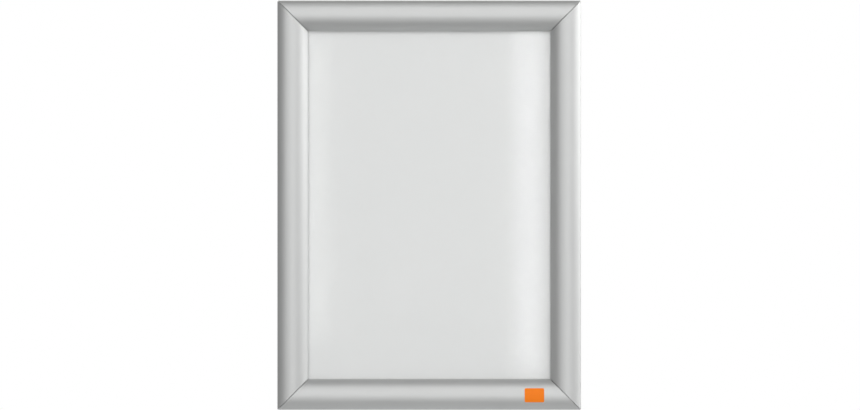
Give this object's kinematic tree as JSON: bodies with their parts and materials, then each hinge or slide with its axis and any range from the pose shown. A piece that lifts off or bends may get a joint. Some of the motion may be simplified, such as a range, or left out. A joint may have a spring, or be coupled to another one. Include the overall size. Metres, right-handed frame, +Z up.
{
  "type": "snap poster frame",
  "caption": "Wall-hung snap poster frame: mitred two-part aluminium rails whose covers swing forward to let a sheet in behind a clear cover sheet.",
  "frame": {"origin": "middle of the plane on the wall, at the centre of the frame", "axes": "+Z up, +Y into the wall, so the poster faces -Y; +X to the right as seen from the front"},
  "size_m": [0.25, 0.013, 0.337],
  "materials": {
    "cover_aluminium": "silver anodised, satin",
    "base_aluminium": "silver anodised, matt extrusion",
    "spring_steel": "bright rolled strip",
    "key_steel": "zinc plated",
    "back_panel": "white polystyrene sheet",
    "insert_paper": "blank paper",
    "clear_sheet": "anti-glare clear sheet"
  },
  "bodies": {
    "wall_base": {"base_rail_bottom": "base_aluminium", "base_rail_left": "base_aluminium", "base_rail_top": "base_aluminium", "base_rail_right": "base_aluminium", "corner_key_bottom_left": "key_steel", "corner_key_bottom_right": "key_steel", "corner_key_top_right": "key_steel", "corner_key_top_left": "key_steel", "back_panel": "back_panel", "poster_insert": "insert_paper", "clear_cover_sheet": "clear_sheet"},
    "bottom_cover": {"snap_cover_bottom": "cover_aluminium"},
    "left_cover": {"snap_cover_left": "cover_aluminium"},
    "top_cover": {"snap_cover_top": "cover_aluminium"},
    "right_cover": {"snap_cover_right": "cover_aluminium"},
    "bottom_leaves": {"leaf_spring_bottom_1": "spring_steel", "leaf_spring_bottom_2": "spring_steel"},
    "left_leaves": {"leaf_spring_left_1": "spring_steel", "leaf_spring_left_2": "spring_steel"},
    "top_leaves": {"leaf_spring_top_1": "spring_steel", "leaf_spring_top_2": "spring_steel"},
    "right_leaves": {"leaf_spring_right_1": "spring_steel", "leaf_spring_right_2": "spring_steel"}
  },
  "joints": [
    {"name": "bottom_cover_hinge", "type": "hinge", "parent": "wall_base", "child": "bottom_cover", "pos_m": [0, -0.00463, -0.1654], "axis": [1, 0, 0], "range_deg": [0, 90]},
    {"name": "left_cover_hinge", "type": "hinge", "parent": "wall_base", "child": "left_cover", "pos_m": [-0.1219, -0.00463, 0], "axis": [0, 0, -1], "range_deg": [0, 90]},
    {"name": "top_cover_hinge", "type": "hinge", "parent": "wall_base", "child": "top_cover", "pos_m": [0, -0.00463, 0.1654], "axis": [-1, 0, 0], "range_deg": [0, 90]},
    {"name": "right_cover_hinge", "type": "hinge", "parent": "wall_base", "child": "right_cover", "pos_m": [0.1219, -0.00463, 0], "axis": [0, 0, 1], "range_deg": [0, 90]},
    {"name": "bottom_leaf_foot", "type": "hinge", "parent": "wall_base", "child": "bottom_leaves", "pos_m": [0, -0.00748, -0.152], "axis": [1, 0, 0], "range_deg": [-34.6, 0], "deforming": ["leaf_spring_bottom_1", "leaf_spring_bottom_2"]},
    {"name": "left_leaf_foot", "type": "hinge", "parent": "wall_base", "child": "left_leaves", "pos_m": [-0.1085, -0.00748, 0], "axis": [0, 0, -1], "range_deg": [-34.6, 0], "deforming": ["leaf_spring_left_1", "leaf_spring_left_2"]},
    {"name": "top_leaf_foot", "type": "hinge", "parent": "wall_base", "child": "top_leaves", "pos_m": [0, -0.00748, 0.152], "axis": [-1, 0, 0], "range_deg": [-34.6, 0], "deforming": ["leaf_spring_top_1", "leaf_spring_top_2"]},
    {"name": "right_leaf_foot", "type": "hinge", "parent": "wall_base", "child": "right_leaves", "pos_m": [0.1085, -0.00748, 0], "axis": [0, 0, 1], "range_deg": [-34.6, 0], "deforming": ["leaf_spring_right_1", "leaf_spring_right_2"]}
  ],
  "couplings": [
    {"joint": "bottom_leaf_foot", "follows": "bottom_cover_hinge", "ratio": -0.38432},
    {"joint": "left_leaf_foot", "follows": "left_cover_hinge", "ratio": -0.38432},
    {"joint": "top_leaf_foot", "follows": "top_cover_hinge", "ratio": -0.38432},
    {"joint": "right_leaf_foot", "follows": "right_cover_hinge", "ratio": -0.38432}
  ]
}
